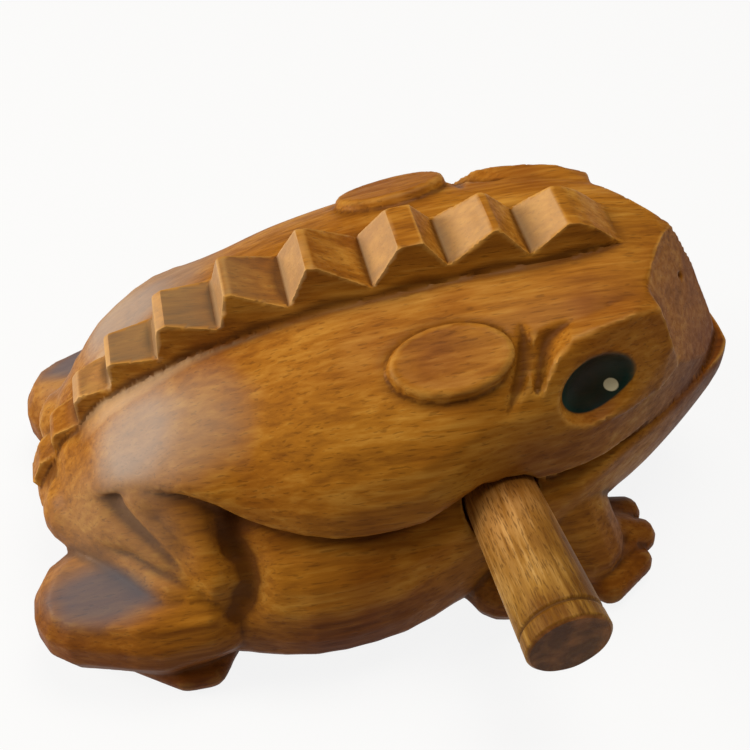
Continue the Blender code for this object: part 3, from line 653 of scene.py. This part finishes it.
def stickWood():
    # Pale hardwood turned on a lathe and lacquered thinly: straight streaks, dark pores and end grain
    material, tree = emptyMaterial("turnedHardwood")
    point = add(tree, "ShaderNodeTexCoord").outputs["Object"]
    turn = (0.0, 0.0, math.radians(-stick["yaw"]))
    straight = add(tree, "ShaderNodeMapping", {"Vector": point, "Rotation": turn}).outputs[0]
    long, dash = [add(tree, "ShaderNodeVectorMath", {0: straight, 1: (1.0, stick[stretch], 1.0)},
                      operation="MULTIPLY").outputs[0] for stretch in ("streakStretch", "poreStretch")]
    streaks = add(tree, "ShaderNodeTexNoise",
                  {"Vector": long, "Scale": 1000 / stick["streakWidth"], "Detail": 4.0,
                   "Roughness": 0.6}).outputs[0]
    pores = add(tree, "ShaderNodeTexNoise",
                {"Vector": dash, "Scale": 1000 / stick["poreWidth"], "Detail": 1.0,
                 "Roughness": 0.5}).outputs[0]
    fade = add(tree, "ShaderNodeTexNoise",
               {"Vector": point, "Scale": 1000 / stick["fadeWidth"], "Detail": 2.0}).outputs[0]
    tone = add(tree, "ShaderNodeMath", {0: fade, 1: stick["fadeShare"]},
               operation="MULTIPLY").outputs[0]
    tone = add(tree, "ShaderNodeMath", {0: streaks, 1: 1 - stick["fadeShare"], 2: tone},
               operation="MULTIPLY_ADD").outputs[0]
    colour = add(tree, "ShaderNodeValToRGB", {"Fac": tone}, stops=stick["grainColours"]).outputs[0]
    poreMask = add(tree, "ShaderNodeValToRGB", {"Fac": pores}, stops=stick["poreEdge"]).outputs[0]
    poreShare = add(tree, "ShaderNodeMath", {0: poreMask, 1: stick["poreShare"]},
                    operation="MULTIPLY").outputs[0]
    colour = add(tree, "ShaderNodeMix", {0: poreShare, 6: colour, 7: stick["pores"]},
                 data_type="RGBA").outputs[2]

    # distance from the handle's face, for the stain, the end grain and the painted shade in the groove
    axis, start = stickLine()
    local = add(tree, "ShaderNodeVectorMath", {0: point, 1: start}, operation="SUBTRACT").outputs[0]
    deep = add(tree, "ShaderNodeVectorMath", {0: local, 1: -axis * 1000},
               operation="DOT_PRODUCT").outputs["Value"]
    first, last = stick["stainRange"]
    darker = add(tree, "ShaderNodeMapRange",
                 {"Value": deep, 1: first, 2: last, 3: 0.0, 4: stick["stainShare"]}).outputs[0]
    colour = add(tree, "ShaderNodeMix", {0: darker, 6: colour, 7: stick["stain"]},
                 data_type="RGBA", blend_type="MULTIPLY").outputs[2]
    first, last = stick["endGrainRange"]
    face = add(tree, "ShaderNodeMapRange",
               {"Value": deep, 1: first, 2: last, 3: 0.0, 4: stick["endGrainShare"]}).outputs[0]
    endGrain = add(tree, "ShaderNodeTexNoise",
                   {"Vector": point, "Scale": stick["endGrainScale"], "Detail": 3.0}).outputs[0]
    endGrain = add(tree, "ShaderNodeValToRGB", {"Fac": endGrain}, stops=stick["endGrain"]).outputs[0]
    colour = add(tree, "ShaderNodeMix", {0: face, 6: colour, 7: endGrain}, data_type="RGBA").outputs[2]
    # painted shade in the groove
    groove = add(tree, "ShaderNodeMath", {0: deep, 1: stick["groovePlace"]},
                 operation="SUBTRACT").outputs[0]
    groove = add(tree, "ShaderNodeMath", {0: groove}, operation="ABSOLUTE").outputs[0]
    first, last = stick["grooveShade"]
    groove = add(tree, "ShaderNodeMapRange",
                 {"Value": groove, 1: first, 2: last, 3: stick["grooveShare"], 4: 0.0}).outputs[0]
    colour = add(tree, "ShaderNodeMix", {0: groove, 6: colour, 7: stick["pores"]},
                 data_type="RGBA").outputs[2]
    height = add(tree, "ShaderNodeMath", {0: poreMask, 1: -stick["poreDepth"], 2: streaks},
                 operation="MULTIPLY_ADD").outputs[0]
    bump = add(tree, "ShaderNodeBump", {"Height": height, "Strength": stick["bump"],
                                        "Distance": stick["grainDepth"] / 1000}).outputs[0]
    shader = add(tree, "ShaderNodeBsdfPrincipled",
                 {"Base Color": colour, "Normal": bump, "Roughness": stick["roughness"], "IOR": 1.5,
                  "Specular IOR Level": stick["shine"]})
    add(tree, "ShaderNodeOutputMaterial", {"Surface": shader.outputs[0]})
    return material


# Stage: white paper, two lamps, a pale room and the camera of the photo.

studio = {
    "key": {"place": (-0.62, 0.06, 0.33), "size": 0.26, "power": 4.9, "colour": "#FFFAF2"},
    "top": {"place": (0.10, 0.06, 0.62), "size": 0.34, "power": 3.1, "colour": "#FFFBF4"},
    "roomStrength": 0.19,
    "roomColour": "#FFF3E0",
    "floorSize": 6.0,
    "floorColour": "#C2C0BC",
    "floorWhite": 0.88,  # how far the camera sees the floor as plain white paper
    "azimuth": -12.0,  # round the object, 0 looks along +Y
    "elevation": 45.0,
    "distance": 0.2356,
    "aim": (0.0, 0.0, 0.0325),
    "lens": 62.4,  # mm
    "sensor": 36.0,
    "nearest": 0.01,
}


def makeFloor():
    bm = bmesh.new()
    bmesh.ops.create_grid(bm, x_segments=1, y_segments=1, size=studio["floorSize"])
    mesh = bpy.data.meshes.new("floor")
    bm.to_mesh(mesh)
    bm.free()
    floor = place(bpy.data.objects.new("floor", mesh))
    material, tree = emptyMaterial("palePaper")
    paper = add(tree, "ShaderNodeBsdfDiffuse", {"Color": studio["floorColour"]}).outputs[0]
    white = add(tree, "ShaderNodeEmission", {"Color": "#FFFFFF", "Strength": 1.0}).outputs[0]
    path = add(tree, "ShaderNodeLightPath").outputs
    seen = add(tree, "ShaderNodeMath", {0: path["Is Camera Ray"], 1: path["Is Glossy Ray"]},
               operation="MAXIMUM").outputs[0]
    share = add(tree, "ShaderNodeMath", {0: seen, 1: studio["floorWhite"]},
                operation="MULTIPLY").outputs[0]
    mixed = add(tree, "ShaderNodeMixShader", {0: share, 1: paper, 2: white}).outputs[0]
    add(tree, "ShaderNodeOutputMaterial", {"Surface": mixed})
    mesh.materials.append(material)


def makeLamp(name):
    given = studio[name]
    lamp = bpy.data.lights.new(name + "Light", "AREA")
    lamp.energy = given["power"]
    lamp.size = given["size"]
    lamp.color = linear(given["colour"])[:3]
    holder = place(bpy.data.objects.new(name + "Light", lamp))
    holder.location = given["place"]
    aim = Vector(studio["aim"]) - Vector(given["place"])
    holder.rotation_euler = aim.to_track_quat("-Z", "Y").to_euler()


def makeRoom():
    room = bpy.data.worlds.new("room")
    bpy.context.scene.world = room
    room.use_nodes = True
    tree = room.node_tree
    tree.nodes.clear()
    path = add(tree, "ShaderNodeLightPath").outputs
    seen = add(tree, "ShaderNodeMath", {0: path["Is Camera Ray"], 1: path["Is Transmission Ray"]},
               operation="MAXIMUM").outputs[0]
    strength = add(tree, "ShaderNodeMapRange",
                   {"Value": seen, 3: studio["roomStrength"], 4: 1.0}).outputs[0]
    colour = add(tree, "ShaderNodeMix", {0: seen, 6: studio["roomColour"], 7: "#FFFFFF"},
                 data_type="RGBA").outputs[2]
    sky = add(tree, "ShaderNodeBackground", {"Color": colour, "Strength": strength}).outputs[0]
    add(tree, "ShaderNodeOutputWorld", {"Surface": sky})


def makeCamera():
    azimuth, elevation = math.radians(studio["azimuth"]), math.radians(studio["elevation"])
    level = Vector((-math.sin(azimuth), math.cos(azimuth), 0))
    forward = level * math.cos(elevation) - Vector((0, 0, 1)) * math.sin(elevation)
    right = Vector((math.cos(azimuth), math.sin(azimuth), 0))
    turn = Matrix((right, right.cross(forward), -forward)).transposed().to_4x4()
    turn.translation = Vector(studio["aim"]) - forward * studio["distance"]
    lens = bpy.data.cameras.new("camera")
    lens.sensor_width = studio["sensor"]
    lens.lens = studio["lens"]
    lens.clip_start = studio["nearest"]
    holder = place(bpy.data.objects.new("camera", lens))
    holder.matrix_world = turn
    bpy.context.scene.camera = holder


makeCamera()
makeLamp("key")
makeLamp("top")
makeRoom()
makeFloor()
bpy.context.scene.view_settings.view_transform = "Standard"
print("floor, lights and camera")

frogBody = makeBody()
frogBody.data.materials.append(bodyWood())
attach(frogBody, "root")
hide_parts("frog_body")

turnedStick = makeStick(stickWood())
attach(turnedStick, "root")
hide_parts("stick")
